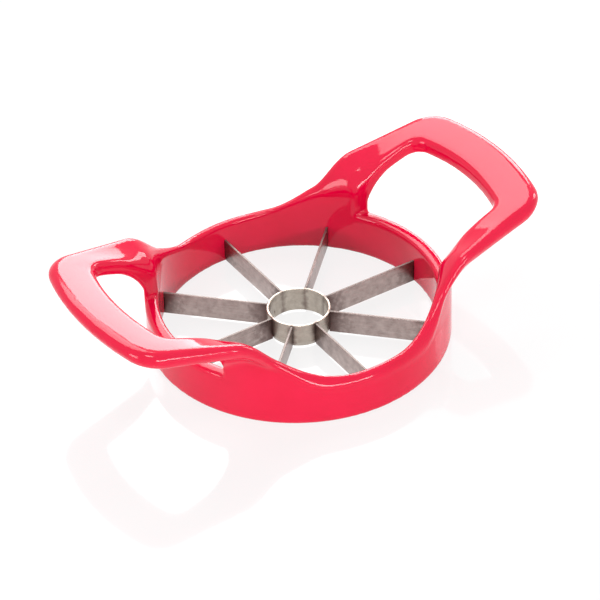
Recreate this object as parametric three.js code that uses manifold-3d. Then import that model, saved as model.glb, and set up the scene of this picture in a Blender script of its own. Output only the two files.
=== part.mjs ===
// Apple slicer and wedger: a one-piece moulded frame with two raised loop handles,
// eight radial steel blades and a steel core ring.
// Millimetres, +Z up. The origin is the middle of the rim, on the surface that the rim stands on,
// and the two handles reach out along +X and -X.

import * as THREE from 'three';
import { mergeVertices } from 'three/addons/utils/BufferGeometryUtils.js';
import Module from 'manifold-3d';

const wasm = await Module();
wasm.setup();

// Rim, a low round wall
const boreRadius = 47.45;
const rimWall = 4.75;
const sideDraft = 1;
const rimHeight = 15.2;
const sillHeight = 16.3;
const sillRound = 1.3;
const footInnerRound = 0.4;
const footOuterRound = 1.1;
const faceStep = 0.1;

// Carrying band, which lies on the rim at the sides and leaves it to form the handles
const lipReach = 0.25;
const bandThickness = 5.9;
const bandTopRound = 2.2;
const rampRound = 3.7;
const rampMiddle = 38;
const rampHalf = 14;
const bandFootRound = 1.6;
const bandCrown = 0.35;
const bandDraft = 0.5;
const innerUnderFillet = 9;
const outerUnderFillet = 14;

// Outer edge of a handle, seen from above
const handleReach = 84.4;
const armOuterHalf = 43.3;
const armOuterTaper = 0.132;
const outerRootRound = 11;
const outerCornerRound = 12.3;
const gripOuterRadius = 95;

// Finger opening of a handle, seen from above
const gripWidth = 15.2;
const openingHalf = 27.8;
const openingTaper = 0.06;
const openingRootRound = 4;
const openingCornerRound = 6;
const gripInnerRadius = 75;

// Heights of the band's top along its outer and inner edges
const outerRiseStart = 19;
const outerShoulder = 46;
const outerShoulderHeight = 36.6;
const outerTipHeight = 43.5;
const innerRiseStart = 8;
const innerShoulder = 64;
const innerShoulderHeight = 39.7;
const innerTipHeight = 40.9;

// Blades and core ring
const bladeCount = 8;
const bladeThickness = 0.8;
const bladeHeight = 8.7;
const bladeFoot = 0.4;
const bevelHeight = 1.6;
const edgeThickness = 0.16;
const tangHeight = 5;
const tangDepth = 2.6;
const coreRadius = 11;
const coreWall = 0.9;
const coreHeight = 8.9;
const coreFoot = 0.5;
const seamWidth = 0.5;
const seamHeight = 3;
const fitClearance = 0.3;

// Steps of the facets
const ringFacets = 120;
const rootSteps = 4;
const armSteps = 12;
const cornerSteps = 5;
const gripSteps = 8;
const roundSteps = 3;
const topSteps = 3;
const underSteps = 7;

// Sizes that follow from the ones above
const rimRadius = boreRadius + rimWall;
const wallOverlap = rimWall / 9;
const lipRadius = rimRadius - sideDraft + lipReach;
const gripInnerReach = handleReach - gripWidth;
const tangFoot = bladeFoot + (bladeHeight - tangHeight) / 2;
const quarterTurn = Math.PI / 2;
const gridStep = (2 * Math.PI) / ringFacets;
const lowestUnder = rimHeight / 3;
const topRoundShare = 0.45;
const footRoundShare = 0.3;
const coveredShare = 0.8;
const staggerShare = 0.25;

// The solid of a list of closed triangles
function solidOf(positions) {
  const geometry = new THREE.BufferGeometry();
  geometry.setAttribute('position', new THREE.Float32BufferAttribute(positions, 3));
  const merged = mergeVertices(geometry, 1e-5);
  const mesh = new wasm.Mesh({
    numProp: 3,
    vertProperties: merged.attributes.position.array,
    triVerts: new Uint32Array(merged.index.array),
  });
  return new wasm.Manifold(mesh);
}

// The solid of a ready-made closed geometry
function solidFrom(geometry) {
  const loose = geometry.index ? geometry.toNonIndexed() : geometry;
  return solidOf(loose.attributes.position.array);
}

// The skin between two closed sections of equal length
function skinBetween(here, next) {
  const positions = [];
  for (let j = 0; j < here.length; j++) {
    const k = (j + 1) % here.length;
    positions.push(...here[j], ...next[j], ...next[k]);
    positions.push(...here[j], ...next[k], ...here[k]);
  }
  return positions;
}

// A ring-shaped solid through closed sections, the last one joined to the first
function loftRing(sections) {
  const next = (i) => sections[(i + 1) % sections.length];
  return solidOf(sections.flatMap((section, i) => skinBetween(section, next(i))));
}

// A solid through four-sided sections, closed by the first and the last one
function loftBar(sections) {
  const positions = sections.slice(1).flatMap((section, i) => skinBetween(sections[i], section));
  const first = sections[0];
  const last = sections[sections.length - 1];
  positions.push(...first[0], ...first[1], ...first[2], ...first[0], ...first[2], ...first[3]);
  positions.push(...last[0], ...last[2], ...last[1], ...last[0], ...last[3], ...last[2]);
  return solidOf(positions);
}

// A point of the plan at a radius and an angle round the middle of the rim
function polar(radius, angle) {
  return new THREE.Vector2(radius * Math.cos(angle), radius * Math.sin(angle));
}

// The points of an arc round a centre, without its last one
function arc(centre, radius, from, to, steps) {
  const points = [];
  for (let i = 0; i < steps; i++) {
    points.push(polar(radius, THREE.MathUtils.lerp(from, to, i / steps)).add(centre));
  }
  return points;
}

// The circles and the line that one edge of a handle is drawn with. The edge leaves a circle round
// the rim by a root fillet, runs along a straight arm and turns by a corner into the bowed grip.
function edgeFrame({ circle, armHalf, taper, rootRound, cornerRound, gripRadius, reach }) {
  const along = new THREE.Vector2(1, -taper).normalize();
  const outward = new THREE.Vector2(-along.y, along.x);
  const armOffset = armHalf * outward.y;

  const rootOffset = armOffset + rootRound;
  const rootReach = Math.sqrt((circle + rootRound) ** 2 - rootOffset ** 2);
  const root = outward.clone().multiplyScalar(rootOffset).addScaledVector(along, rootReach);

  const gripCentre = new THREE.Vector2(reach - gripRadius, 0);
  const toArm = outward.clone().multiplyScalar(armOffset - cornerRound).sub(gripCentre);
  const back = toArm.dot(along);
  const slack = (gripRadius - cornerRound) ** 2 - toArm.lengthSq();
  const corner = toArm.addScaledVector(along, Math.sqrt(back ** 2 + slack) - back).add(gripCentre);

  return { along, outward, armOffset, root, corner, gripCentre, rootAngle: root.angle() };
}

// The points of one quarter of an edge, from the side of the rim to the tip of the grip: one on
// each grid angle of the rim, then the given steps along the root fillet and the arm
function quarterEdge(size, frame, rimCount, rootCount, armCount) {
  const armAngle = frame.outward.angle();
  const gripAngle = frame.corner.clone().sub(frame.gripCentre).angle();
  const armStart = frame.root.clone().addScaledVector(frame.outward, -size.rootRound);
  const armEnd = frame.corner.clone().addScaledVector(frame.outward, size.cornerRound);
  const points = [];
  for (let i = 0; i < rimCount; i++) {
    points.push(polar(size.circle, quarterTurn - i * gridStep));
  }
  const rootFrom = frame.rootAngle + Math.PI;
  points.push(...arc(frame.root, size.rootRound, rootFrom, armAngle + Math.PI, rootCount));
  for (let i = 0; i < armCount; i++) {
    points.push(armStart.clone().lerp(armEnd, i / armCount));
  }
  points.push(...arc(frame.corner, size.cornerRound, armAngle, gripAngle, cornerSteps));
  points.push(...arc(frame.gripCentre, size.gripRadius, gripAngle, 0, gripSteps));
  points.push(new THREE.Vector2(size.reach, 0));
  return points;
}

const innerSize = {
  circle: boreRadius,
  armHalf: openingHalf,
  taper: openingTaper,
  rootRound: openingRootRound,
  cornerRound: openingCornerRound,
  gripRadius: gripInnerRadius,
  reach: gripInnerReach,
};
const outerSize = {
  circle: lipRadius,
  armHalf: armOuterHalf,
  taper: armOuterTaper,
  rootRound: outerRootRound,
  cornerRound: outerCornerRound,
  gripRadius: gripOuterRadius,
  reach: handleReach,
};
const innerFrame = edgeFrame(innerSize);
const outerFrame = edgeFrame(outerSize);

// Stations over the rim: both edges keep to the rim's own facets up to the outer root fillet,
// which lies beside the last part of the bore, and the outer arm begins beside the inner root
const rimStations = Math.floor((quarterTurn - innerFrame.rootAngle) / gridStep) + 1;
const freeStations = Math.floor((quarterTurn - outerFrame.rootAngle) / gridStep) + 1;
const sideStations = Math.min(freeStations, rimStations - 1);
const innerEdge = quarterEdge(innerSize, innerFrame, rimStations, rootSteps, armSteps);
const flareSteps = rimStations - sideStations;
const sideAngle = quarterTurn - (sideStations - 1) * gridStep;
const besideAngle = quarterTurn - (rimStations - 1) * gridStep;
const outerEdge = quarterEdge(outerSize, outerFrame, sideStations, flareSteps, rootSteps + armSteps);

const innerRise = {
  start: innerRiseStart,
  shoulder: innerShoulder,
  shoulderHeight: innerShoulderHeight,
  reach: gripInnerReach,
  tipHeight: innerTipHeight,
};
const outerRise = {
  start: outerRiseStart,
  shoulder: outerShoulder,
  shoulderHeight: outerShoulderHeight,
  reach: handleReach,
  tipHeight: outerTipHeight,
};

// Height of the band's top along an edge: level on the rim, an S-shaped rise to the shoulder of
// the arm, then a straight slope to the tip
function rise(x, { start, shoulder, shoulderHeight, reach, tipHeight }) {
  const slope = (tipHeight - shoulderHeight) / (reach - shoulder);
  if (x >= shoulder) {
    return tipHeight - slope * (reach - x);
  }
  const span = shoulder - start;
  const t = Math.max(0, (x - start) / span);
  const climb = (shoulderHeight - rimHeight) * (3 * t ** 2 - 2 * t ** 3);
  return rimHeight + climb + slope * span * (t ** 3 - t ** 2);
}

// Radius of the top of the rim's outer face at an angle: the face is upright beside the handles and
// leans in by the draft at the sides
function wallRadius(angle) {
  const across = Math.abs(Math.sin(angle));
  const lean = THREE.MathUtils.smoothstep(across, Math.sin(besideAngle), Math.sin(sideAngle));
  return rimRadius - sideDraft * lean;
}

// Height of the band's top over a share of the way from its inner to its outer edge
function bandTop(inner, outer, share) {
  const height = THREE.MathUtils.lerp(rise(inner.x, innerRise), rise(outer.x, outerRise), share);
  return height + 4 * bandCrown * share * (1 - share);
}

// Height of the band's underside, which hangs down to the rim's outer face as a concave fillet
// that is no wider than the band's overhang
function bandUnder(inner, outer, share) {
  const point = inner.clone().lerp(outer, share);
  const wall = wallRadius(point.angle());
  const full = THREE.MathUtils.lerp(innerUnderFillet, outerUnderFillet, share);
  const fillet = THREE.MathUtils.clamp(outer.length() - wall, 0, full);
  const away = THREE.MathUtils.clamp(point.length() - wall + wallOverlap, 0, fillet);
  const drop = fillet - Math.sqrt(fillet ** 2 - (fillet - away) ** 2);
  return Math.max(bandTop(inner, outer, share) - bandThickness - drop, lowestUnder);
}

// Radius of the band's inner top edge, which widens on the ramp between the rim and the arm
function innerRound(inner, width) {
  const near = Math.max(0, 1 - ((inner.x - rampMiddle) / rampHalf) ** 2);
  return Math.min(THREE.MathUtils.lerp(bandTopRound, rampRound, near ** 2), width * topRoundShare);
}

// One section of the band from its inner to its outer edge: points of [across, height]
function bandProfile(inner, outer) {
  const width = inner.distanceTo(outer);
  const top = (across) => bandTop(inner, outer, across / width);
  const under = (across) => bandUnder(inner, outer, across / width);
  const profile = [];
  const near = innerRound(inner, width);
  for (let i = 0; i <= roundSteps; i++) {
    const turn = (quarterTurn * i) / roundSteps;
    const across = near * (1 - Math.cos(turn));
    profile.push([across, top(across) - near * (1 - Math.sin(turn))]);
  }
  const far = Math.min(bandTopRound, width * topRoundShare);
  for (let i = 1; i < topSteps; i++) {
    const across = THREE.MathUtils.lerp(near, width - far, i / topSteps);
    profile.push([across, top(across)]);
  }
  for (let i = roundSteps; i >= 0; i--) {
    const turn = (quarterTurn * i) / roundSteps;
    const across = width - far * (1 - Math.cos(turn));
    profile.push([across, top(across) - far * (1 - Math.sin(turn))]);
  }
  const foot = Math.min(bandFootRound, width * footRoundShare);
  const outside = width - bandDraft;
  const bevel = foot * (1 - Math.SQRT1_2);
  profile.push([outside, under(outside) + foot]);
  profile.push([outside - bevel, under(outside - bevel) + bevel]);
  for (let i = 0; i <= underSteps; i++) {
    const across = THREE.MathUtils.lerp(outside - foot, foot, i / underSteps);
    profile.push([across, under(across)]);
  }
  profile.push([bevel, under(bevel) + bevel]);
  profile.push([0, under(0) + foot]);
  return profile;
}

// The section of one station as points in space
function bandSection(i, signX, signY) {
  const inner = innerEdge[i];
  const outer = outerEdge[i];
  const width = inner.distanceTo(outer);
  return bandProfile(inner, outer).map(([across, height]) => {
    const p = inner.clone().lerp(outer, across / width);
    return [signX * p.x, signY * p.y, height];
  });
}

// The carrying band: four mirrored quarters, joined at the sides and at the tips
function carryingBand() {
  const last = innerEdge.length - 1;
  const sections = [];
  for (const side of [1, -1]) {
    for (let i = 0; i < last; i++) {
      sections.push(bandSection(i, side, side));
    }
    for (let i = last; i > 0; i--) {
      sections.push(bandSection(i, side, -side));
    }
  }
  return loftRing(sections);
}

// Height just under the band's rounded edges over a point of the plan, from the section that
// passes nearest
function bandInside(point) {
  const p = new THREE.Vector2(Math.abs(point.x), Math.abs(point.y));
  let nearest = Infinity;
  let height = 0;
  for (let i = 0; i < innerEdge.length; i++) {
    const inner = innerEdge[i];
    const outer = outerEdge[i];
    const across = outer.clone().sub(inner);
    const share = THREE.MathUtils.clamp(p.clone().sub(inner).dot(across) / across.lengthSq(), 0, 1);
    const distance = inner.clone().lerp(outer, share).distanceTo(p);
    if (distance < nearest) {
      nearest = distance;
      const round = Math.max(bandTopRound, innerRound(inner, across.length()));
      height = bandTop(inner, outer, share) - round - wallOverlap;
    }
  }
  return height;
}

// One section of the rising wall between a point of the bore and a point of the outer face
function wallSection(inner, outer, signX, signY) {
  const foot = rimHeight / 2;
  const at = (p, height) => [signX * p.x, signY * p.y, height];
  return [at(outer, foot), at(outer, bandInside(outer)), at(inner, bandInside(inner)), at(inner, foot)];
}

// The wall that carries the band up from the rim on one side, between the two finger openings. Its
// outer face is a step inside the rim's, on facets of its own.
function risingWall(side) {
  const last = rimStations + rootSteps;
  const endReach = Math.sqrt((rimRadius - faceStep) ** 2 - innerFrame.armOffset ** 2);
  const end = innerFrame.outward.clone().multiplyScalar(innerFrame.armOffset);
  const endAngle = end.addScaledVector(innerFrame.along, endReach).angle();
  const outerFace = [];
  for (let i = 0; i <= last; i++) {
    const share = (i - rimStations + 1) / (rootSteps + 1);
    const beyond = THREE.MathUtils.lerp(besideAngle, endAngle, share);
    const angle = i < rimStations ? quarterTurn - Math.max(0, i - staggerShare) * gridStep : beyond;
    outerFace.push(polar(wallRadius(angle) - faceStep, angle));
  }
  const sections = [];
  for (let i = last; i > 0; i--) {
    sections.push(wallSection(innerEdge[i], outerFace[i], side, side));
  }
  for (let i = 0; i <= last; i++) {
    sections.push(wallSection(innerEdge[i], outerFace[i], -side, side));
  }
  return loftBar(sections);
}

// A solid turned round the Z axis on the rim's facets, from the closed profile at each angle:
// points of [radius, height], and the angle that a point is turned on by
function turned(profileAt) {
  const sections = [];
  for (let i = 0; i < ringFacets; i++) {
    const angle = quarterTurn - i * gridStep;
    const place = ([radius, height, turn = 0]) => [...polar(radius, angle + turn), height];
    sections.push(profileAt(angle).map(place));
  }
  return loftRing(sections);
}

// The rim's own profile. Its rounded top is the sill under the handles, and stays inside the band
// where the band lies on the rim. The facets of its outer face are half a step on from the others.
function rimProfile(angle) {
  const underHandle = Math.abs(Math.sin(angle)) < Math.sin(innerFrame.rootAngle + gridStep / 2);
  const top = underHandle ? sillHeight : rimHeight - bandTopRound * coveredShare;
  const round = underHandle ? sillRound : footInnerRound;
  const onward = gridStep / 2;
  const profile = [[boreRadius, footInnerRound]];
  for (let i = 0; i <= roundSteps; i++) {
    const turn = (quarterTurn * i) / roundSteps;
    const inset = round * (1 - Math.cos(turn));
    profile.push([boreRadius + inset, top - round * (1 - Math.sin(turn))]);
  }
  for (let i = roundSteps; i >= 0; i--) {
    const turn = (quarterTurn * i) / roundSteps;
    const radius = wallRadius(angle + onward) - round * (1 - Math.cos(turn));
    profile.push([radius, top - round * (1 - Math.sin(turn)), onward]);
  }
  for (let i = 0; i < roundSteps; i++) {
    const turn = (quarterTurn * i) / (roundSteps - 1);
    const inset = footOuterRound * (1 - Math.cos(turn));
    profile.push([rimRadius - inset, footOuterRound * (1 - Math.sin(turn)), onward]);
  }
  profile.push([boreRadius + footInnerRound, 0]);
  return profile;
}

// An upright box from one radius to another along +X, centred on the X axis
function radialBox(from, to, thickness, foot, height) {
  const box = new THREE.BoxGeometry(to - from, thickness, height);
  box.translate((from + to) / 2, 0, foot + height / 2);
  return solidFrom(box);
}

// The pocket in the rim that holds the tang of the blade at an angle
function tangPocket(angle) {
  const deep = boreRadius + tangDepth + fitClearance;
  const wide = bladeThickness + 2 * fitClearance;
  const tall = tangHeight + 2 * fitClearance;
  const pocket = radialBox(boreRadius - rimWall, deep, wide, tangFoot - fitClearance, tall);
  return pocket.rotate([0, 0, THREE.MathUtils.radToDeg(angle)]);
}

// The moulded frame: rim, rising walls and carrying band in one piece, with the tang pockets
function frameSolid() {
  let solid = turned(rimProfile).add(risingWall(1)).add(risingWall(-1)).add(carryingBand());
  for (let i = 0; i < bladeCount; i++) {
    solid = solid.subtract(tangPocket((i * 2 * Math.PI) / bladeCount));
  }
  return solid;
}

// One blade along +X: a strip ground to an edge along its foot, with a narrower tang
function bladeSolid() {
  const half = bladeThickness / 2;
  const edge = edgeThickness / 2;
  const top = bladeFoot + bladeHeight;
  const section = new THREE.Shape([
    new THREE.Vector2(edge, bladeFoot),
    new THREE.Vector2(half, bladeFoot + bevelHeight),
    new THREE.Vector2(half, top),
    new THREE.Vector2(-half, top),
    new THREE.Vector2(-half, bladeFoot + bevelHeight),
    new THREE.Vector2(-edge, bladeFoot),
  ]);
  const start = coreRadius + fitClearance;
  const length = boreRadius - fitClearance - start;
  const strip = new THREE.ExtrudeGeometry(section, { depth: length, bevelEnabled: false });
  strip.rotateX(quarterTurn);
  strip.rotateZ(quarterTurn);
  strip.translate(start, 0, 0);
  const tang = radialBox(start + length / 2, boreRadius + tangDepth, bladeThickness, tangFoot, tangHeight);
  return solidFrom(strip).add(tang);
}

// The core ring: a rolled strip ground to an edge along its foot, with an open seam at the foot
function coreSolid() {
  const inside = coreRadius - coreWall;
  const top = coreFoot + coreHeight;
  const profile = [
    [inside, coreFoot],
    [inside, top],
    [coreRadius, top],
    [coreRadius, coreFoot + bevelHeight],
    [inside + edgeThickness, coreFoot],
  ];
  const ring = turned(() => profile);
  const slit = radialBox(inside - coreWall, coreRadius + coreWall, seamWidth, 0, coreFoot + seamHeight);
  return ring.subtract(slit.rotate([0, 0, 90 + 180 / bladeCount]));
}

// A named mesh of a solid
function meshOf(name, solid, material) {
  const { vertProperties, triVerts } = solid.getMesh();
  const geometry = new THREE.BufferGeometry();
  geometry.setAttribute('position', new THREE.BufferAttribute(vertProperties, 3));
  geometry.setIndex(new THREE.BufferAttribute(triVerts, 1));
  geometry.computeVertexNormals();
  const mesh = new THREE.Mesh(geometry, material);
  mesh.name = name;
  return mesh;
}

const plastic = new THREE.MeshStandardMaterial({ color: 0xd9163d, roughness: 0.2, metalness: 0 });
const steel = new THREE.MeshStandardMaterial({ color: 0xa8a19c, roughness: 0.35, metalness: 1 });

const group = new THREE.Group();
group.add(meshOf('frame', frameSolid(), plastic));
group.add(meshOf('core_ring', coreSolid(), steel.clone()));
for (let i = 0; i < bladeCount; i++) {
  const blade = meshOf(`blade_${i + 1}`, bladeSolid(), steel.clone());
  blade.rotation.z = (i * 2 * Math.PI) / bladeCount;
  group.add(blade);
}

export default group;
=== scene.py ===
"""Apple slicer and wedger: looks for the moulded frame, the eight blades and the core ring."""

import bisect
import math

import bmesh
import bpy
import numpy
from mathutils import Matrix, Vector


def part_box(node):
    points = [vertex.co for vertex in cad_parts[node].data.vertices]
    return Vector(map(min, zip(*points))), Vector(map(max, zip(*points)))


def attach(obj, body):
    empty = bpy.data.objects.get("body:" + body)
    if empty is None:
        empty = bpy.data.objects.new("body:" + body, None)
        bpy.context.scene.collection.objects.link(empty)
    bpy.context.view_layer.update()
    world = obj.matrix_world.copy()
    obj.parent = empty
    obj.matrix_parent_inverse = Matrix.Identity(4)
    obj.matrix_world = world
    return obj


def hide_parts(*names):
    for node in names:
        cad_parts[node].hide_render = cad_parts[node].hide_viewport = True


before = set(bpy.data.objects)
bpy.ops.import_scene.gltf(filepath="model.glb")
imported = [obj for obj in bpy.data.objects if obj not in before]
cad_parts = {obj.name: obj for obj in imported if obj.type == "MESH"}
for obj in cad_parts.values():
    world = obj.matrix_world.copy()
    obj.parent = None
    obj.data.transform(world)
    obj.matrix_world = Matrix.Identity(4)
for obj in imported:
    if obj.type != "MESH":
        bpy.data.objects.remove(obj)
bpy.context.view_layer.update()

QUARTER_TURN = math.pi / 2

# Camera: where it looks, from which side, and how long its lens is
LOOK_AT = Vector((0.00784, 0.01153, 0.00165))
CAMERA_AZIMUTH = math.radians(-121.839)
CAMERA_ELEVATION = math.radians(37.109)
CAMERA_ROLL = math.radians(-1.684)
CAMERA_DISTANCE = 1.16685
LENS = 202.55

# Lamps: name, azimuth and elevation in degrees, distance, width, height and brightness
LAMPS = (
    ("near_grip_glow", 49, 22, 1.3, 0.66, 0.56, 8.0),
    ("far_grip_glow", 84, 51, 1.3, 1.05, 0.66, 4.9),
    ("left_glow", -174, 16, 1.2, 0.50, 0.46, 6.5),
    ("right_glow", 4, 24, 1.2, 0.26, 0.40, 8.0),
    ("top_glow", -120, 66, 1.3, 0.34, 0.34, 10.0),
    ("front_strip", -90, 13, 1.3, 0.85, 0.18, 16.0),
)

# Room and table top: how strongly the surroundings light the object, the table's size and paint,
# the share of plain white in it, and its faint gloss
WHITE = (1, 1, 1, 1)
ROOM_LIGHT = 0.38
TABLE_HALF = 3
TABLE_PAINT = (0.9, 0.9, 0.9, 1)
TABLE_GLOW = 0.9
TABLE_GLOSS = 0.07
TABLE_GLOSS_ROUGHNESS = 0.08

# Colours of the plastic, of the marks on the steel and of the painted shade at the blades' joins
CRIMSON = (0.72, 0.001, 0.044, 1)
CRIMSON_DEEP = (0.66, 0.0, 0.034, 1)
CRIMSON_WORN = (0.80, 0.02, 0.07, 1)
GROUND_BRIGHT = (0.60, 0.55, 0.52, 1)
# painted shade where the blades meet the ring and the rim
PAINTED_SHADE_BROWN = (0.09, 0.05, 0.046, 1)
CUT_GREY = (0.26, 0.23, 0.215, 1)

# Rim, in metres
BORE_RADIUS = 0.04745
RIM_RADIUS = 0.0522
SIDE_DRAFT = 0.001
RIM_HEIGHT = 0.0152
SILL_HEIGHT = 0.0163
SILL_ROUND = 0.0016
FOOT_INNER_ROUND = 0.0005
FOOT_OUTER_ROUND = 0.0011

# Carrying band
LIP_RADIUS = 0.05145
BAND_THICKNESS = 0.0059
BAND_TOP_ROUND = 0.0022
OUTER_TOP_ROUND = 0.0033
BAND_FOOT_ROUND = 0.0017
BAND_CROWN = 0.00035
BAND_DRAFT = 0.0005
NEAR_ROUND_SHARE = 0.45
FAR_ROUND_SHARE = 0.66
FOOT_ROUND_SHARE = 0.3
LEAST_FLAT = 0.0001
RAMP_ROUND = 0.0062
RAMP_MIDDLE = 0.038
RAMP_HALF = 0.014
INNER_UNDER_FILLET = 0.009
OUTER_UNDER_FILLET = 0.014
LOWEST_UNDER = RIM_HEIGHT / 3
WALL_FOOT = RIM_HEIGHT / 2
SIDE_TOP = RIM_HEIGHT - 0.8 * BAND_TOP_ROUND

# The two edges of a handle, seen from above: the circle round the rim, the half width and taper of
# the arms, the root and corner roundings, the bow of the grip and how far it reaches
INNER_EDGE = {
    "circle": BORE_RADIUS,
    "half": 0.0278,
    "taper": 0.06,
    "root": 0.004,
    "corner": 0.006,
    "bow": 0.075,
    "reach": 0.0692,
}
OUTER_EDGE = {
    "circle": LIP_RADIUS,
    "half": 0.0433,
    "taper": 0.132,
    "root": 0.011,
    "corner": 0.0123,
    "bow": 0.095,
    "reach": 0.0844,
}

# Heights of the band's top along the two edges
INNER_RISE = {
    "start": 0.008,
    "shoulder": 0.064,
    "at_shoulder": 0.0397,
    "reach": 0.0692,
    "at_tip": 0.0409,
}
OUTER_RISE = {
    "start": 0.019,
    "shoulder": 0.046,
    "at_shoulder": 0.0366,
    "reach": 0.0844,
    "at_tip": 0.0435,
}

# Blades and core ring
BLADE_COUNT = 8
BLADE_THICKNESS = 0.0008
BLADE_FOOT = 0.0004
BLADE_HEIGHT = 0.0087
BEVEL_HEIGHT = 0.0016
EDGE_THICKNESS = 0.00016
BLADE_TOP_ROUND = 0.00012
BLADE_SEAT = 0.0004
TANG_HEIGHT = 0.005
TANG_DEPTH = 0.0026
CORE_RADIUS = 0.011
CORE_WALL = 0.0009
CORE_FOOT = 0.0005
CORE_HEIGHT = 0.0089
CORE_TOP_ROUND = 0.00022
SEAM_WIDTH = 0.0005
SEAM_HEIGHT = 0.003
RING_STEPS = 128
CUT_EDGE_START = 0.00012
CUT_EDGE_FULL = 0.00004
MERGE_DISTANCE = 1e-7
SHARP_ANGLE = math.radians(24)

# Steps of the fine skin, how the stations across the band keep step, and how the skin is evened out
EDGE_STEPS = 48
STATION_STEP = 0.00075
STATION_BLENDS = 30
ARM_LEAD = 0.25
WALL_OVERLAP = 0.0005
ROUND_STEPS = 8
TOP_STEPS = 6
FOOT_STEPS = 4
UNDER_STEPS = 15
RIM_STEPS = 360
WALL_STEPS = 80
SKIN_VOXEL = 0.00056
SKIN_PASSES = 60
SKIN_WEIGHTS = (0.5, -0.51)


def polar(radius, angle):
    """A point of the plan at a radius and an angle round the middle of the rim."""
    return Vector((radius * math.cos(angle), radius * math.sin(angle)))


def mix_values(a, b, share):
    """The value a share of the way from one to another."""
    return a + (b - a) * share


def clamp(value, low, high):
    """The value kept between two bounds."""
    return max(low, min(high, value))


def feed(tree, socket, term):
    """A link or a plain value into a socket."""
    if isinstance(term, bpy.types.NodeSocket):
        tree.links.new(term, socket)
    else:
        socket.default_value = term


def placed(tree, kind, inputs):
    """A node with its named inputs fed, and its first result."""
    node = tree.nodes.new(kind)
    for label, term in inputs.items():
        feed(tree, node.inputs[label], term)
    return node.outputs[0]


def calc(tree, operation, *terms):
    """The result of one math step on sockets and numbers."""
    node = tree.nodes.new("ShaderNodeMath")
    node.operation = operation
    for socket, term in zip(node.inputs, terms):
        feed(tree, socket, term)
    return node.outputs[0]


def stretch(tree, value, low, high, at_low=0.0, at_high=1.0):
    """A value moved from one range to another, and kept inside it."""
    ranges = {"From Min": low, "From Max": high, "To Min": at_low, "To Max": at_high}
    return placed(tree, "ShaderNodeMapRange", {"Value": value, **ranges})


def noise(tree, place, scale, detail=2.0, roughness=0.5):
    """A noise pattern over a place."""
    sizes = {"Scale": scale, "Detail": detail, "Roughness": roughness}
    return placed(tree, "ShaderNodeTexNoise", {"Vector": place, **sizes})


def blend_colours(tree, share, first, second):
    """A mix of two colours."""
    node = tree.nodes.new("ShaderNodeMix")
    node.data_type = "RGBA"
    feed(tree, node.inputs["Factor"], share)
    feed(tree, node.inputs["A"], first)
    feed(tree, node.inputs["B"], second)
    return node.outputs["Result"]


def tint(tree, colour, mask, weight, towards):
    """A colour drawn towards another one by a weighted mask."""
    return blend_colours(tree, calc(tree, "MULTIPLY", mask, weight), colour, towards)


def weighted(tree, base, *terms):
    """A base value plus masks, each times its weight, kept from 0 to 1."""
    total = base
    for mask, weight in terms:
        total = calc(tree, "ADD", total, calc(tree, "MULTIPLY", mask, weight))
    return stretch(tree, total, 0.0, 1.0)


def mix_shaders(tree, share, first, second):
    """A mix of two shaders."""
    node = tree.nodes.new("ShaderNodeMixShader")
    for socket, term in zip(node.inputs, (share, first, second)):
        feed(tree, socket, term)
    return node.outputs[0]


def plain_rays(tree):
    """1 for rays that show a background: straight from the camera, mirrored or let through."""
    path = tree.nodes.new("ShaderNodeLightPath")
    seen = path.outputs["Is Camera Ray"]
    for label in ("Is Glossy Ray", "Is Transmission Ray"):
        seen = calc(tree, "MAXIMUM", seen, path.outputs[label])
    return seen


def own_place(tree):
    """The place on a piece in its own coordinates."""
    return tree.nodes.new("ShaderNodeTexCoord").outputs["Object"]


def point_of(tree, x=0.0, y=0.0, z=0.0):
    """A point made of sockets and numbers."""
    return placed(tree, "ShaderNodeCombineXYZ", {"X": x, "Y": y, "Z": z})


def plan_radius(tree):
    """Distance from the middle axis, and the place itself split into its parts."""
    parts = tree.nodes.new("ShaderNodeSeparateXYZ")
    tree.links.new(own_place(tree), parts.inputs[0])
    x, y, z = parts.outputs
    square = calc(tree, "ADD", calc(tree, "MULTIPLY", x, x), calc(tree, "MULTIPLY", y, y))
    return calc(tree, "SQRT", square), x, y, z


def new_group(name, inputs, output):
    """An empty shader node group with named sizes and one named result."""
    tree = bpy.data.node_groups.new(name, "ShaderNodeTree")
    for label, value in inputs:
        socket = tree.interface.new_socket(label, in_out="INPUT", socket_type="NodeSocketFloat")
        socket.default_value = value
    tree.interface.new_socket(output, in_out="OUTPUT", socket_type="NodeSocketFloat")
    given = tree.nodes.new("NodeGroupInput").outputs
    return tree, given, tree.nodes.new("NodeGroupOutput").inputs[output]


def place_group(tree, group, **values):
    """A group placed in a material with its own values."""
    node = tree.nodes.new("ShaderNodeGroup")
    node.node_tree = group
    for label, value in values.items():
        node.inputs[label].default_value = value
    return node.outputs[0]


def new_piece(name, points, edges, faces):
    """A mesh object at the origin."""
    mesh = bpy.data.meshes.new(name)
    mesh.from_pydata([tuple(p) for p in points], edges, faces)
    piece = bpy.data.objects.new(name, mesh)
    bpy.context.scene.collection.objects.link(piece)
    return piece


def bake(piece):
    """The evaluated piece as a plain mesh, without its modifiers."""
    view = bpy.context.evaluated_depsgraph_get()
    view.update()
    mesh = bpy.data.meshes.new_from_object(piece.evaluated_get(view))
    piece.modifiers.clear()
    piece.data = mesh


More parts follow.
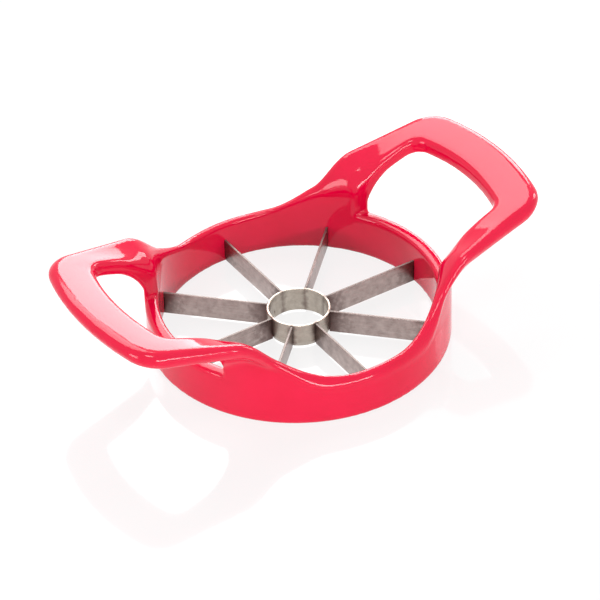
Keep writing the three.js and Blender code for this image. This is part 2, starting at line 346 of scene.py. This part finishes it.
def aim_camera():
    """The photograph's camera."""
    back = Vector(
        (
            math.cos(CAMERA_AZIMUTH) * math.cos(CAMERA_ELEVATION),
            math.sin(CAMERA_AZIMUTH) * math.cos(CAMERA_ELEVATION),
            math.sin(CAMERA_ELEVATION),
        )
    )
    right = Vector((-math.sin(CAMERA_AZIMUTH), math.cos(CAMERA_AZIMUTH), 0))
    up = back.cross(right)
    turned_right = right * math.cos(CAMERA_ROLL) + up * math.sin(CAMERA_ROLL)
    turned_up = up * math.cos(CAMERA_ROLL) - right * math.sin(CAMERA_ROLL)
    place = LOOK_AT + back * CAMERA_DISTANCE
    data = bpy.data.cameras.new("view")
    data.lens = LENS
    data.sensor_width = 36
    data.clip_end = 20
    camera = bpy.data.objects.new("view", data)
    bpy.context.scene.collection.objects.link(camera)
    turn = Matrix((turned_right, turned_up, back)).transposed()
    camera.matrix_world = Matrix.Translation(place) @ turn.to_4x4()
    bpy.context.scene.camera = camera
    bpy.context.scene.view_settings.view_transform = "Standard"


def soft_lamp(name, azimuth, elevation, distance, width, height, radiance):
    """A soft box of a given brightness that faces the object."""
    data = bpy.data.lights.new(name, "AREA")
    data.shape = "RECTANGLE"
    data.size, data.size_y = width, height
    data.energy = radiance * math.pi * width * height
    lamp = bpy.data.objects.new(name, data)
    bpy.context.scene.collection.objects.link(lamp)
    azimuth, elevation = math.radians(azimuth), math.radians(elevation)
    away = Vector((*polar(math.cos(elevation), azimuth), math.sin(elevation)))
    lamp.location = away * distance
    lamp.rotation_euler = away.to_track_quat("Z", "Y").to_euler()


def light_room():
    """White surroundings for the eye and for reflections, a softer grey level as light."""
    world = bpy.data.worlds.new("room")
    bpy.context.scene.world = world
    world.use_nodes = True
    tree = world.node_tree
    tree.nodes.clear()
    seen = placed(tree, "ShaderNodeBackground", {"Color": WHITE})
    lit = placed(tree, "ShaderNodeBackground", {"Color": WHITE, "Strength": ROOM_LIGHT})
    out = tree.nodes.new("ShaderNodeOutputWorld")
    tree.links.new(mix_shaders(tree, plain_rays(tree), lit, seen), out.inputs["Surface"])
    for lamp in LAMPS:
        soft_lamp(*lamp)


def lay_floor():
    """A white table top with a faint gloss that keeps the object's soft shadow."""
    half = TABLE_HALF
    corners = [(-half, -half, 0), (half, -half, 0), (half, half, 0), (-half, half, 0)]
    table = new_piece("table_top", corners, [], [(0, 1, 2, 3)])
    material = bpy.data.materials.new("table_white")
    material.use_nodes = True
    tree = material.node_tree
    tree.nodes.clear()
    paint = placed(tree, "ShaderNodeBsdfDiffuse", {"Color": TABLE_PAINT})
    glow = placed(tree, "ShaderNodeEmission", {"Color": WHITE})
    gloss = placed(tree, "ShaderNodeBsdfGlossy", {"Roughness": TABLE_GLOSS_ROUGHNESS})
    glowing = calc(tree, "MULTIPLY", plain_rays(tree), TABLE_GLOW)
    pale = mix_shaders(tree, glowing, paint, glow)
    out = tree.nodes.new("ShaderNodeOutputMaterial")
    tree.links.new(mix_shaders(tree, TABLE_GLOSS, pale, gloss), out.inputs["Surface"])
    table.data.materials.append(material)


def fine_scratches():
    """Hair-fine marks in two directions, as a mask from 0 to 1."""
    sizes = [("Density", 900.0), ("Stretch", 0.06), ("Amount", 0.3)]
    tree, given, result = new_group("fine_scratches", sizes, "Mask")
    place = own_place(tree)
    squeeze = placed(tree, "ShaderNodeCombineXYZ", {"X": 1, "Y": given["Stretch"], "Z": 1})
    marks = 0.0
    for turn in (0.5, 1.9):
        turned = placed(
            tree,
            "ShaderNodeMapping",
            {"Vector": place, "Rotation": (0.3, turn, turn), "Scale": squeeze},
        )
        lines = noise(tree, turned, given["Density"])
        marks = calc(tree, "MAXIMUM", marks, stretch(tree, lines, 0.64, 0.74))
    tree.links.new(calc(tree, "MULTIPLY", marks, given["Amount"]), result)
    return tree


def edge_wear():
    """The rubbed convex edges, as a mask from 0 to 1 broken up by noise."""
    sizes = [("Low", 0.52), ("High", 0.6), ("Breakup", 400.0), ("Amount", 1.0)]
    tree, given, result = new_group("edge_wear", sizes, "Mask")
    convex = tree.nodes.new("ShaderNodeNewGeometry").outputs["Pointiness"]
    sharp = stretch(tree, convex, given["Low"], given["High"])
    broken = stretch(tree, noise(tree, own_place(tree), given["Breakup"], 4.0), 0.35, 0.65)
    worn = calc(tree, "MULTIPLY", sharp, broken)
    tree.links.new(calc(tree, "MULTIPLY", worn, given["Amount"]), result)
    return tree


def mottling():
    """Soft cloudy patches, from 0 to 1."""
    sizes = [("Scale", 200.0), ("Detail", 5.0), ("Low", 0.35), ("High", 0.65)]
    tree, given, result = new_group("mottling", sizes, "Mask")
    clouds = noise(tree, own_place(tree), given["Scale"], given["Detail"], 0.6)
    tree.links.new(stretch(tree, clouds, given["Low"], given["High"]), result)
    return tree


def grinding_lines():
    """Fine grinding lines on coordinates round the middle axis: how many there are to the metre
    outwards and upwards, and to the radian around."""
    sizes = [("Outward", 60.0), ("Around", 3.0), ("Upward", 9000.0)]
    tree, given, result = new_group("grinding_lines", sizes, "Height")
    radius, x, y, z = plan_radius(tree)
    place = point_of(
        tree,
        calc(tree, "MULTIPLY", radius, given["Outward"]),
        calc(tree, "MULTIPLY", calc(tree, "ARCTAN2", y, x), given["Around"]),
        calc(tree, "MULTIPLY", z, given["Upward"]),
    )
    tree.links.new(stretch(tree, noise(tree, place, 1.0, 3.0, 0.6), 0.3, 0.7), result)
    return tree


def painted_join_shade():
    """Painted shade at the ends of the blades and beside each blade on the core ring, from 0 to 1:
    darkest where the blades meet the ring and the rim, broken up by noise.
    """
    sizes = [
        ("Core", 0.0112),
        ("Rim", 0.0472),
        ("Reach", 0.004),
        ("Beside", 0.0),
        ("Breakup", 500.0),
    ]
    tree, given, result = new_group("painted_join_shade", sizes, "Mask")
    radius, x, y, _ = plan_radius(tree)
    blade_turn = 2 * math.pi / BLADE_COUNT
    sector = calc(tree, "DIVIDE", calc(tree, "ARCTAN2", y, x), blade_turn)
    apart = calc(tree, "ABSOLUTE", calc(tree, "SUBTRACT", sector, calc(tree, "ROUND", sector)))
    across = calc(tree, "MULTIPLY", calc(tree, "MULTIPLY", apart, blade_turn), radius)
    near_core = calc(tree, "ABSOLUTE", calc(tree, "SUBTRACT", radius, given["Core"]))
    near_core = calc(tree, "ADD", near_core, calc(tree, "MULTIPLY", given["Beside"], across))
    near_rim = calc(tree, "SUBTRACT", given["Rim"], radius)
    breakup = noise(tree, own_place(tree), given["Breakup"], 3.0)
    ragged = stretch(tree, breakup, 0.3, 0.7, 0.35, 1.0)
    away = calc(tree, "DIVIDE", calc(tree, "MINIMUM", near_core, near_rim), given["Reach"])
    faded = stretch(tree, calc(tree, "DIVIDE", away, ragged), 0.0, 1.0, 1.0, 0.0)
    tree.links.new(faded, result)
    return tree


def new_material(name):
    """A material, its tree and its shader."""
    material = bpy.data.materials.new(name)
    material.use_nodes = True
    return material, material.node_tree, material.node_tree.nodes["Principled BSDF"]


def surface_bump(tree, shader, height, strength, distance):
    """A bump over the whole surface."""
    bump = tree.nodes.new("ShaderNodeBump")
    bump.inputs["Strength"].default_value = strength
    bump.inputs["Distance"].default_value = distance
    tree.links.new(height, bump.inputs["Height"])
    tree.links.new(bump.outputs[0], shader.inputs["Normal"])


def crimson_plastic(effects):
    """Crimson moulded plastic with a high gloss, faint flow marks and handling scratches."""
    material, tree, shader = new_material("crimson_plastic")
    shader.inputs["IOR"].default_value = 1.40
    flow = place_group(tree, effects["mottling"], Scale=55.0, Low=0.3, High=0.7)
    worn = place_group(tree, effects["edge_wear"], Low=0.53, High=0.62, Amount=0.8)
    marks = place_group(tree, effects["scratches"], Density=1100.0, Stretch=0.04, Amount=0.5)
    ripples = place_group(
        tree, effects["mottling"], Scale=160.0, Detail=0.6, Low=0.2, High=0.8
    )
    colour = tint(tree, blend_colours(tree, flow, CRIMSON, CRIMSON_DEEP), worn, 0.25, CRIMSON_WORN)
    tree.links.new(colour, shader.inputs["Base Color"])
    tree.links.new(weighted(tree, 0.08, (marks, 0.16), (worn, 0.02)), shader.inputs["Roughness"])
    height = calc(tree, "SUBTRACT", ripples, calc(tree, "MULTIPLY", marks, 0.03))
    surface_bump(tree, shader, height, 0.10, 0.0001)
    return material


def strip_steel(effects, name, dark, pale, lines, join_shade, cut_top=None):
    """Ground strip steel: cloudy, with grinding lines and scratches, with painted shade darkening
    the joins, and a dull cut edge where the height of one is given."""
    material, tree, shader = new_material(name)
    shader.inputs["Metallic"].default_value = 1
    clouds = place_group(tree, effects["mottling"], Scale=420.0, Low=0.3, High=0.7)
    ground = place_group(tree, effects["lines"], **lines)
    marks = place_group(tree, effects["scratches"], Density=1400.0, Stretch=0.05, Amount=0.5)
    shaded_joins = place_group(tree, effects["join_shade"], **join_shade)
    colour = blend_colours(tree, clouds, (*dark, 1), (*pale, 1))
    colour = tint(tree, colour, ground, 0.4, GROUND_BRIGHT)
    # painted shade: the steel darkened brown where the blades meet the core ring and the rim, and
    # beside each blade on the ring
    colour = tint(tree, colour, shaded_joins, 0.92, PAINTED_SHADE_BROWN)
    rough = [(ground, 0.12), (marks, 0.14)]
    if cut_top is not None:
        height = plan_radius(tree)[3]
        cut = stretch(tree, height, cut_top - CUT_EDGE_START, cut_top - CUT_EDGE_FULL)
        colour = tint(tree, colour, cut, 0.7, CUT_GREY)
        rough.append((cut, 0.3))
    tree.links.new(colour, shader.inputs["Base Color"])
    tree.links.new(weighted(tree, 0.26, *rough), shader.inputs["Roughness"])
    surface_bump(tree, shader, ground, 0.25, 0.00003)
    return material


def arc_points(centre, radius, start, stop, steps):
    """Points along an arc, without its last one."""
    return [centre + polar(radius, start + (stop - start) * i / steps) for i in range(steps)]


class Edge:
    """One edge of a handle over a quarter of the plan, from the rim's side to the grip's tip."""

    def __init__(self, size):
        along = Vector((1, -size["taper"])).normalized()
        outward = Vector((-along.y, along.x))
        offset = size["half"] * outward.y
        reach = math.sqrt((size["circle"] + size["root"]) ** 2 - (offset + size["root"]) ** 2)
        root = outward * (offset + size["root"]) + along * reach
        bow_middle = Vector((size["reach"] - size["bow"], 0))
        to_arm = outward * (offset - size["corner"]) - bow_middle
        back = to_arm.dot(along)
        slack = (size["bow"] - size["corner"]) ** 2 - to_arm.length_squared
        corner = to_arm + along * (math.sqrt(back**2 + slack) - back) + bow_middle
        arm_angle = math.atan2(outward.y, outward.x)
        grip_angle = math.atan2(corner.y, corner.x - bow_middle.x)
        arm_start = root - outward * size["root"]
        arm_end = corner + outward * size["corner"]
        self.root_angle = math.atan2(root.y, root.x)
        self.arm_line = (outward * offset, along)
        n = EDGE_STEPS
        self.runs = [
            arc_points(Vector((0, 0)), size["circle"], QUARTER_TURN, self.root_angle, n),
            arc_points(root, size["root"], self.root_angle + math.pi, arm_angle + math.pi, n),
            [arm_start.lerp(arm_end, i / n) for i in range(n)],
            arc_points(corner, size["corner"], arm_angle, grip_angle, n),
            arc_points(bow_middle, size["bow"], grip_angle, 0, n) + [Vector((size["reach"], 0))],
        ]
        self.points = [p for run in self.runs for p in run]
        self.lengths = [0.0]
        for a, b in zip(self.points, self.points[1:]):
            self.lengths.append(self.lengths[-1] + (b - a).length)

    def run_length(self, run):
        """Length along the edge up to the start of one of its runs."""
        return self.lengths[sum(len(r) for r in self.runs[:run])]

    def at(self, length):
        """The point at a length along the edge."""
        length = clamp(length, 0.0, self.lengths[-1])
        i = min(bisect.bisect_right(self.lengths, length) - 1, len(self.points) - 2)
        span = self.lengths[i + 1] - self.lengths[i]
        share = (length - self.lengths[i]) / span if span > 0 else 0.0
        return self.points[i].lerp(self.points[i + 1], share)


def pair_edges(inner, outer):
    """Stations across the band: the inner and the outer point of each, evenly spread between the
    places where the two edges keep step, then evened out."""
    beside_root = BORE_RADIUS * (QUARTER_TURN - outer.root_angle)
    arm_share = (1 - ARM_LEAD) * outer.run_length(2) + ARM_LEAD * outer.run_length(3)
    pairs = [
        (0.0, 0.0),
        (beside_root, outer.run_length(1)),
        (inner.run_length(1), outer.run_length(2)),
        (inner.run_length(2), arm_share),
        (inner.run_length(3), outer.run_length(3)),
        (inner.run_length(4), outer.run_length(4)),
        (inner.lengths[-1], outer.lengths[-1]),
    ]
    lengths = []
    for (a0, b0), (a1, b1) in zip(pairs, pairs[1:]):
        steps = math.ceil((a1 - a0 + b1 - b0) / 2 / STATION_STEP)
        for i in range(steps):
            lengths.append((a0 + (a1 - a0) * i / steps, b0 + (b1 - b0) * i / steps))
    lengths.append(pairs[-1])
    for _ in range(STATION_BLENDS):
        even = [
            tuple((before[k] + 2 * here[k] + after[k]) / 4 for k in (0, 1))
            for before, here, after in zip(lengths, lengths[1:], lengths[2:])
        ]
        lengths = [lengths[0], *even, lengths[-1]]
    return [(inner.at(a), outer.at(b)) for a, b in lengths]


def rise(x, size):
    """Height of the band's top along an edge: level on the rim, an S-shaped rise to the shoulder of
    the arm, then a straight slope to the tip."""
    slope = (size["at_tip"] - size["at_shoulder"]) / (size["reach"] - size["shoulder"])
    if x >= size["shoulder"]:
        return size["at_tip"] - slope * (size["reach"] - x)
    span = size["shoulder"] - size["start"]
    t = max(0.0, (x - size["start"]) / span)
    climb = (size["at_shoulder"] - RIM_HEIGHT) * (3 * t**2 - 2 * t**3)
    return RIM_HEIGHT + climb + slope * span * (t**3 - t**2)


def wall_radius(angle, inner, outer):
    """Radius of the top of the rim's outer face: upright under the handles, leaning in at the
    sides."""
    low, high = math.sin(inner.root_angle), math.sin(outer.root_angle)
    t = clamp((abs(math.sin(angle)) - low) / (high - low), 0.0, 1.0)
    return RIM_RADIUS - SIDE_DRAFT * t * t * (3 - 2 * t)


def band_top(a, b, share):
    """Height of the band's top over a share of the way from its inner to its outer edge."""
    height = mix_values(rise(a.x, INNER_RISE), rise(b.x, OUTER_RISE), share)
    return height + 4 * BAND_CROWN * share * (1 - share)


def inner_round(a, width):
    """Radius of the band's inner top edge, which widens on the ramp between the rim and the arm."""
    near = max(0.0, 1 - ((a.x - RAMP_MIDDLE) / RAMP_HALF) ** 2)
    return min(mix_values(BAND_TOP_ROUND, RAMP_ROUND, near**2), width * NEAR_ROUND_SHARE)


def band_under(a, b, share, edges):
    """Height of the band's underside, which hangs down to the rim's outer face as a fillet."""
    point = a.lerp(b, share)
    wall = wall_radius(math.atan2(point.y, point.x), *edges)
    full = mix_values(INNER_UNDER_FILLET, OUTER_UNDER_FILLET, share)
    fillet = clamp(b.length - wall, 0.0, full)
    away = clamp(point.length - wall + WALL_OVERLAP, 0.0, fillet)
    drop = fillet - math.sqrt(fillet**2 - (fillet - away) ** 2)
    return max(band_top(a, b, share) - BAND_THICKNESS - drop, LOWEST_UNDER)


def quarter_round(radius, steps, back=False):
    """Steps round a quarter circle: how far in from the edge, and how far down from the face."""
    turns = [QUARTER_TURN * i / steps for i in range(steps + 1)]
    if back:
        turns.reverse()
    return [(radius * (1 - math.cos(turn)), radius * (1 - math.sin(turn))) for turn in turns]


def band_section(a, b, edges, side_x, side_y):
    """One closed section of the band from its inner to its outer edge, as points in space."""
    width = (b - a).length
    far = min(OUTER_TOP_ROUND, width * FAR_ROUND_SHARE)
    near = min(inner_round(a, width), width - far - LEAST_FLAT)
    foot = min(BAND_FOOT_ROUND, width * FOOT_ROUND_SHARE)
    outside = width - BAND_DRAFT

    def top(across):
        """Height of the top at a distance from the inner edge."""
        return band_top(a, b, across / width)

    def under(across):
        """Height of the underside at a distance from the inner edge."""
        return band_under(a, b, across / width, edges)

    profile = [(t, top(t) - down) for t, down in quarter_round(near, ROUND_STEPS)]
    for i in range(1, TOP_STEPS):
        across = mix_values(near, width - far, i / TOP_STEPS)
        profile.append((across, top(across)))
    for t, down in quarter_round(far, ROUND_STEPS, True):
        profile.append((width - t, top(width - t) - down))
    for t, up in quarter_round(foot, FOOT_STEPS):
        profile.append((outside - t, under(outside - t) + up))
    for i in range(1, UNDER_STEPS):
        across = mix_values(outside - foot, foot, i / UNDER_STEPS)
        profile.append((across, under(across)))
    profile += [(t, under(t) + up) for t, up in quarter_round(foot, FOOT_STEPS, True)]
    section = []
    for across, height in profile:
        p = a.lerp(b, across / width)
        section.append((side_x * p.x, side_y * p.y, height))
    return section


def band_inside(point, stations):
    """Height just under the band's rounded edges over a point of the plan."""
    nearest, height = math.inf, 0.0
    for a, b in stations:
        across = b - a
        share = clamp((point - a).dot(across) / across.length_squared, 0.0, 1.0)
        distance = (a.lerp(b, share) - point).length_squared
        if distance < nearest:
            nearest = distance
            round_size = max(OUTER_TOP_ROUND, inner_round(a, across.length))
            height = band_top(a, b, share) - round_size - WALL_OVERLAP
    return height


def wall_sections(stations, edges):
    """Sections of the wall that carries the band up from the rim, over one quarter of the plan."""
    inner, outer = edges
    bore_run, root_end = inner.run_length(1), inner.run_length(2)
    start, along = inner.arm_line
    end = start + along * math.sqrt(RIM_RADIUS**2 - start.length_squared)
    end_angle = math.atan2(end.y, end.x)
    sections = []
    for i in range(WALL_STEPS + 1):
        length = root_end * i / WALL_STEPS
        beyond = max(0.0, (length - bore_run) / (root_end - bore_run))
        angle = mix_values(QUARTER_TURN - min(length, bore_run) / BORE_RADIUS, end_angle, beyond)
        a = inner.at(length)
        b = polar(wall_radius(angle, inner, outer), angle)
        high_a, high_b = band_inside(a, stations), band_inside(b, stations)
        sections.append([(b, WALL_FOOT), (b, high_b), (a, high_a), (a, WALL_FOOT)])
    return sections


def rim_section(angle, edges):
    """One closed section of the rim: its rounded top is the sill under the handles."""
    under_handle = abs(math.sin(angle)) < math.sin(edges[0].root_angle)
    top = SILL_HEIGHT if under_handle else SIDE_TOP
    size = SILL_ROUND if under_handle else FOOT_INNER_ROUND
    outside = wall_radius(angle, *edges)
    profile = [(BORE_RADIUS, FOOT_INNER_ROUND)]
    profile += [(BORE_RADIUS + t, top - down) for t, down in quarter_round(size, ROUND_STEPS)]
    profile += [(outside - t, top - down) for t, down in quarter_round(size, ROUND_STEPS, True)]
    profile += [(RIM_RADIUS - t, up) for t, up in quarter_round(FOOT_OUTER_ROUND, FOOT_STEPS)]
    profile.append((BORE_RADIUS + FOOT_INNER_ROUND, 0.0))
    return [(*polar(radius, angle), height) for radius, height in profile]


class Shells:
    """Closed shells gathered for one skin."""

    def __init__(self):
        self.points = []
        self.faces = []

    def add(self, sections, closed):
        """A shell through closed sections, joined to a ring or shut at both ends."""
        first, count = len(self.points), len(sections[0])
        for section in sections:
            self.points += section
        for i in range(len(sections) if closed else len(sections) - 1):
            here = first + i * count
            after = first + (i + 1) % len(sections) * count
            for j in range(count):
                k = (j + 1) % count
                self.faces.append((here + j, after + j, after + k, here + k))
        if not closed:
            last = first + (len(sections) - 1) * count
            self.faces.append(tuple(first + j for j in range(count)))
            self.faces.append(tuple(last + j for j in reversed(range(count))))


def even_out(mesh, low, high):
    """The voxel grid's ripples taken out of a skin, its volume kept and its box not left."""
    count = len(mesh.vertices)
    places = numpy.empty(count * 3)
    mesh.vertices.foreach_get("co", places)
    places = places.reshape(-1, 3)
    ends = numpy.empty(len(mesh.edges) * 2, dtype=numpy.int32)
    mesh.edges.foreach_get("vertices", ends)
    a, b = ends.reshape(-1, 2).T
    degree = (numpy.bincount(a, minlength=count) + numpy.bincount(b, minlength=count))[:, None]
    for _ in range(SKIN_PASSES):
        for weight in SKIN_WEIGHTS:
            totals = [
                numpy.bincount(a, places[b, k], count) + numpy.bincount(b, places[a, k], count)
                for k in range(3)
            ]
            places += weight * (numpy.stack(totals, axis=1) / degree - places)
    places = numpy.clip(places, numpy.array(low), numpy.array(high))
    mesh.vertices.foreach_set("co", places.ravel())
    mesh.update()


def moulded_frame(material):
    """The frame as one smooth skin: rim, rising walls and carrying band run into each other."""
    inner, outer = edges = Edge(INNER_EDGE), Edge(OUTER_EDGE)
    stations = pair_edges(inner, outer)
    shells = Shells()

    band = []
    for side in (1, -1):
        band += [band_section(a, b, edges, side, side) for a, b in stations[:-1]]
        band += [band_section(a, b, edges, side, -side) for a, b in reversed(stations[1:])]
    shells.add(band, True)

    quarter = wall_sections(stations, edges)
    for side in (1, -1):
        wall = [[(side * p.x, side * p.y, h) for p, h in section] for section in reversed(quarter)]
        wall += [[(-side * p.x, side * p.y, h) for p, h in section] for section in quarter[1:]]
        shells.add(wall, False)

    turns = [QUARTER_TURN - 2 * math.pi * i / RIM_STEPS for i in range(RIM_STEPS)]
    shells.add([rim_section(turn, edges) for turn in turns], True)

    piece = new_piece("moulded_frame", shells.points, [], shells.faces)
    skin = piece.modifiers.new("skin", "REMESH")
    skin.mode = "VOXEL"
    skin.voxel_size = SKIN_VOXEL
    skin.use_smooth_shade = True
    bake(piece)
    even_out(piece.data, *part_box("frame"))
    piece.data.materials.clear()
    piece.data.materials.append(material)
    return piece


def section_loop(name, profile):
    """A closed loop of edges, drawn across and up, that a sweep takes as its section."""
    count = len(profile)
    ring = [(i, (i + 1) % count) for i in range(count)]
    return new_piece(name, [(across, up, 0.0) for across, up in profile], ring, [])


def new_geometry_tree(name, count, sizes):
    """An empty geometry tree: a section comes in with a count, a material and named sizes, and a
    piece comes out."""
    tree = bpy.data.node_groups.new(name, "GeometryNodeTree")
    inputs = {"Section": "Geometry", count: "Int", "Finish": "Material"}
    inputs |= {label: "Float" for label in sizes}
    for label, kind in inputs.items():
        tree.interface.new_socket(label, in_out="INPUT", socket_type=f"NodeSocket{kind}")
    tree.interface.new_socket("Piece", in_out="OUTPUT", socket_type="NodeSocketGeometry")
    given = tree.nodes.new("NodeGroupInput").outputs
    return tree, given, tree.nodes.new("NodeGroupOutput").inputs["Piece"]


def turn_of(tree, angle):
    """A turn round the middle axis."""
    return placed(tree, "FunctionNodeEulerToRotation", {"Euler": point_of(tree, 0.0, 0.0, angle)})


def upright_sweep(tree, path, section):
    """A section swept along a path that lies flat, its second side kept pointing up."""
    level = tree.nodes.new("GeometryNodeSetCurveNormal")
    level.mode = "Z_UP"
    tree.links.new(path, level.inputs["Curve"])
    tilted = placed(tree, "GeometryNodeSetCurveTilt", {"Curve": level.outputs[0], "Tilt": math.pi})
    return placed(
        tree,
        "GeometryNodeCurveToMesh",
        {"Curve": tilted, "Profile Curve": section, "Fill Caps": True},
    )


def line_sweep(tree, start, end, section):
    """A section swept straight outwards between two distances from the middle axis."""
    ends = {"Start": point_of(tree, start), "End": point_of(tree, end)}
    return upright_sweep(tree, placed(tree, "GeometryNodeCurvePrimitiveLine", ends), section)


def finish_tree(tree, geometry, material, result):
    """The end of each tree: real meshes in their material."""
    real = placed(tree, "GeometryNodeRealizeInstances", {"Geometry": geometry})
    painted = placed(tree, "GeometryNodeSetMaterial", {"Geometry": real, "Material": material})
    tree.links.new(painted, result)


def blade_star_tree():
    """Strips with tangs, set evenly round the middle axis."""
    sizes = (
        "Start",
        "Reach",
        "Thickness",
        "Tang Start",
        "Tang Reach",
        "Tang Middle",
        "Tang Height",
    )
    tree, given, result = new_geometry_tree("blade_star", "Count", sizes)
    section = placed(tree, "GeometryNodeMeshToCurve", {"Mesh": given["Section"]})
    strip = line_sweep(tree, given["Start"], given["Reach"], section)

    tang_shape = placed(
        tree,
        "GeometryNodeCurvePrimitiveQuadrilateral",
        {"Width": given["Thickness"], "Height": given["Tang Height"]},
    )
    raised = placed(
        tree,
        "GeometryNodeTransform",
        {"Geometry": tang_shape, "Translation": point_of(tree, 0.0, given["Tang Middle"])},
    )
    tang = line_sweep(tree, given["Tang Start"], given["Tang Reach"], raised)

    blade = tree.nodes.new("GeometryNodeJoinGeometry")
    tree.links.new(strip, blade.inputs[0])
    tree.links.new(tang, blade.inputs[0])

    places = placed(tree, "GeometryNodePoints", {"Count": given["Count"]})
    index = tree.nodes.new("GeometryNodeInputIndex").outputs[0]
    turn = calc(tree, "DIVIDE", calc(tree, "MULTIPLY", index, 2 * math.pi), given["Count"])
    star = placed(
        tree,
        "GeometryNodeInstanceOnPoints",
        {"Points": places, "Instance": blade.outputs[0], "Rotation": turn_of(tree, turn)},
    )
    finish_tree(tree, star, given["Finish"], result)
    return tree


def rolled_ring_tree():
    """A section rolled into a ring, with a slit cut up from its foot."""
    sizes = ("Radius", "Seam Angle", "Seam Width", "Seam Height", "Seam Depth")
    tree, given, result = new_geometry_tree("rolled_ring", "Steps", sizes)
    section = placed(tree, "GeometryNodeMeshToCurve", {"Mesh": given["Section"]})
    circle = placed(
        tree,
        "GeometryNodeCurvePrimitiveCircle",
        {"Resolution": given["Steps"], "Radius": given["Radius"]},
    )
    ring = upright_sweep(tree, circle, section)

    tall = calc(tree, "MULTIPLY", given["Seam Height"], 2.0)
    size = point_of(tree, given["Seam Depth"], given["Seam Width"], tall)
    block = placed(tree, "GeometryNodeMeshCube", {"Size": size})
    moved_out = placed(
        tree,
        "GeometryNodeTransform",
        {"Geometry": block, "Translation": point_of(tree, given["Radius"])},
    )
    turned = placed(
        tree,
        "GeometryNodeTransform",
        {"Geometry": moved_out, "Rotation": turn_of(tree, given["Seam Angle"])},
    )
    cut = tree.nodes.new("GeometryNodeMeshBoolean")
    cut.operation = "DIFFERENCE"
    cut.solver = "EXACT"
    tree.links.new(ring, cut.inputs["Mesh 1"])
    tree.links.new(turned, cut.inputs["Mesh 2"])
    finish_tree(tree, cut.outputs[0], given["Finish"], result)
    return tree


def finish_steel(piece):
    """Doubles merged, faces turned outwards, and crisp ground edges."""
    shape = bmesh.new()
    shape.from_mesh(piece.data)
    bmesh.ops.remove_doubles(shape, verts=shape.verts, dist=MERGE_DISTANCE)
    bmesh.ops.recalc_face_normals(shape, faces=shape.faces)
    shape.to_mesh(piece.data)
    shape.free()
    piece.data.shade_smooth()
    piece.data.set_sharp_from_angle(angle=SHARP_ANGLE)


def grow(piece, tree, values):
    """The tree run on a piece with its named sizes, baked to a plain mesh."""
    modifier = piece.modifiers.new(tree.name, "NODES")
    modifier.node_group = tree
    for socket in tree.interface.items_tree:
        if socket.in_out == "INPUT" and socket.name in values:
            modifier[socket.identifier] = values[socket.name]
    bake(piece)
    finish_steel(piece)
    return piece


def blade_star(material):
    """The eight blades: strips ground to an edge along the foot, let into the ring and the rim."""
    half, edge, nick = BLADE_THICKNESS / 2, EDGE_THICKNESS / 2, BLADE_TOP_ROUND
    top = BLADE_FOOT + BLADE_HEIGHT
    right = [
        (edge, BLADE_FOOT),
        (half, BLADE_FOOT + BEVEL_HEIGHT),
        (half, top - nick),
        (half - nick, top),
    ]
    left = [(-across, up) for across, up in reversed(right)]
    return grow(
        section_loop("blade_star", right + left),
        blade_star_tree(),
        {
            "Count": BLADE_COUNT,
            "Finish": material,
            "Start": CORE_RADIUS - CORE_WALL / 3,
            "Reach": BORE_RADIUS + BLADE_SEAT,
            "Thickness": BLADE_THICKNESS,
            "Tang Start": BORE_RADIUS - BLADE_SEAT,
            "Tang Reach": BORE_RADIUS + TANG_DEPTH,
            "Tang Middle": BLADE_FOOT + BLADE_HEIGHT / 2,
            "Tang Height": TANG_HEIGHT,
        },
    )


def rolled_ring(material):
    """The core ring: a rolled strip ground to an edge along its foot, with an open seam there."""
    top, nick = CORE_FOOT + CORE_HEIGHT, CORE_TOP_ROUND
    profile = [
        (CORE_WALL, CORE_FOOT),
        (CORE_WALL, top - nick),
        (CORE_WALL - nick, top),
        (nick, top),
        (0.0, top - nick),
        (0.0, CORE_FOOT + BEVEL_HEIGHT),
        (CORE_WALL - EDGE_THICKNESS, CORE_FOOT),
    ]
    return grow(
        section_loop("rolled_ring", profile),
        rolled_ring_tree(),
        {
            "Steps": RING_STEPS,
            "Finish": material,
            "Radius": CORE_RADIUS,
            "Seam Angle": QUARTER_TURN + math.pi / BLADE_COUNT,
            "Seam Width": SEAM_WIDTH,
            "Seam Height": CORE_FOOT + SEAM_HEIGHT,
            "Seam Depth": 4 * CORE_WALL,
        },
    )


def stand_for(piece, slot, *nodes):
    """The piece shown in place of CAD nodes."""
    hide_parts(*nodes)
    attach(piece, "root")


aim_camera()
light_room()
lay_floor()
effects = {
    "scratches": fine_scratches(),
    "edge_wear": edge_wear(),
    "mottling": mottling(),
    "lines": grinding_lines(),
    # painted shade at the blades' joins
    "join_shade": painted_join_shade(),
}
plastic = crimson_plastic(effects)
blade_steel = strip_steel(
    effects,
    "blade_steel",
    dark=(0.25, 0.175, 0.162),
    pale=(0.45, 0.35, 0.328),
    lines={"Outward": 60.0, "Around": 3.0, "Upward": 9000.0},
    # painted shade spreading from both ends of each blade
    join_shade={"Reach": 0.011},
    cut_top=BLADE_FOOT + BLADE_HEIGHT,
)
ring_steel = strip_steel(
    effects,
    "ring_steel",
    dark=(0.32, 0.27, 0.22),
    pale=(0.50, 0.44, 0.37),
    lines={"Outward": 900.0, "Around": 2.0, "Upward": 9000.0},
    # painted shade on the ring beside each blade
    join_shade={"Core": 0.0109, "Reach": 0.0030, "Beside": 1.0},
)
stand_for(moulded_frame(plastic), "red_plastic", "frame")
stand_for(blade_star(blade_steel), "steel", *[f"blade_{i + 1}" for i in range(BLADE_COUNT)])
stand_for(rolled_ring(ring_steel), "steel", "core_ring")
